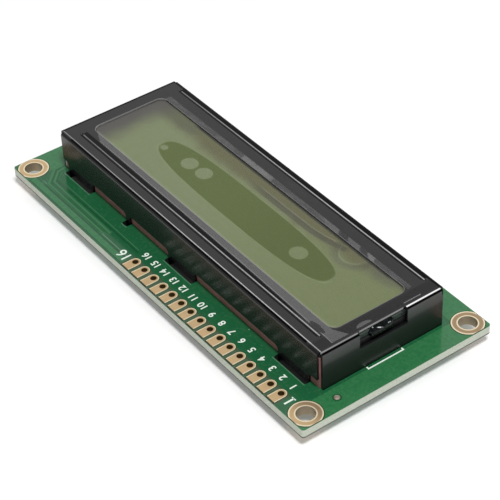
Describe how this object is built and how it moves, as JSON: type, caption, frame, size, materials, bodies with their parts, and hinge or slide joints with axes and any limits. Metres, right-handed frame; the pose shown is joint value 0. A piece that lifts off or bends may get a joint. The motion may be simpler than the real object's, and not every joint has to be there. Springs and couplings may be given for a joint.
{
  "type": "character lcd module",
  "caption": "Flat character display module: a liquid crystal cell under a folded black steel bezel with a window, on a green circuit board with corner holes and a header row.",
  "frame": {"origin": "under the middle of the circuit board, level with the flats of the two epoxy drops behind it", "axes": "+X along the board towards the first header hole, +Y away from the header row, +Z out of the display"},
  "size_m": [0.08, 0.036, 0.0106],
  "materials": {
    "solder_mask": "glossy green mask over glass fibre laminate",
    "gold_plating": "gold plated copper",
    "black_steel": "semi-gloss black paint on folded sheet steel",
    "clear_film": "thin clear protective film, loosely wetted",
    "polarizer": "glossy olive green film",
    "cell_glass": "clear cut glass",
    "cell_glue": "clear hardened glue",
    "crystal_layer": "enclosed liquid layer",
    "silicone": "matt pink silicone with a dark conducting core",
    "white_plastic": "matt white moulding",
    "black_plastic": "matt black moulding",
    "white_ink": "white print on the board",
    "diffuser_plastic": "milky sheet",
    "light_laminate": "white masked laminate",
    "die_crystal": "small light emitting crystals",
    "tinned_metal": "tinned, slightly dull",
    "black_epoxy": "cast black epoxy, softly shining",
    "bare_silicon": "polished silicon",
    "resistor_body": "glazed black film on white ceramic",
    "capacitor_body": "matt tan ceramic"
  },
  "bodies": {
    "root": {"circuit_board": "solder_mask", "mounting_pads": "gold_plating", "header_pads": "gold_plating", "contact_fingers": "gold_plating", "bezel": "black_steel", "protective_film": "clear_film", "front_polarizer": "polarizer", "front_glass": "cell_glass", "cell_seal": "cell_glue", "liquid_crystal": "crystal_layer", "end_seal": "cell_glue", "rear_glass": "cell_glass", "rear_polarizer": "polarizer", "zebra_strip_near": "silicone", "zebra_strip_far": "silicone", "cell_holder": "black_plastic", "backlight_diffuser": "diffuser_plastic", "backlight_reflector": "white_plastic", "backlight_board": "light_laminate", "backlight_dice": "die_crystal", "backlight_pins": "tinned_metal", "backlight_solder": "tinned_metal", "controller_blob": "black_epoxy", "driver_blob": "black_epoxy", "controller_die": "bare_silicon", "driver_die": "bare_silicon", "resistors": "resistor_body", "resistor_caps": "tinned_metal", "capacitors": "capacitor_body", "capacitor_caps": "tinned_metal"}
  },
  "joints": []
}
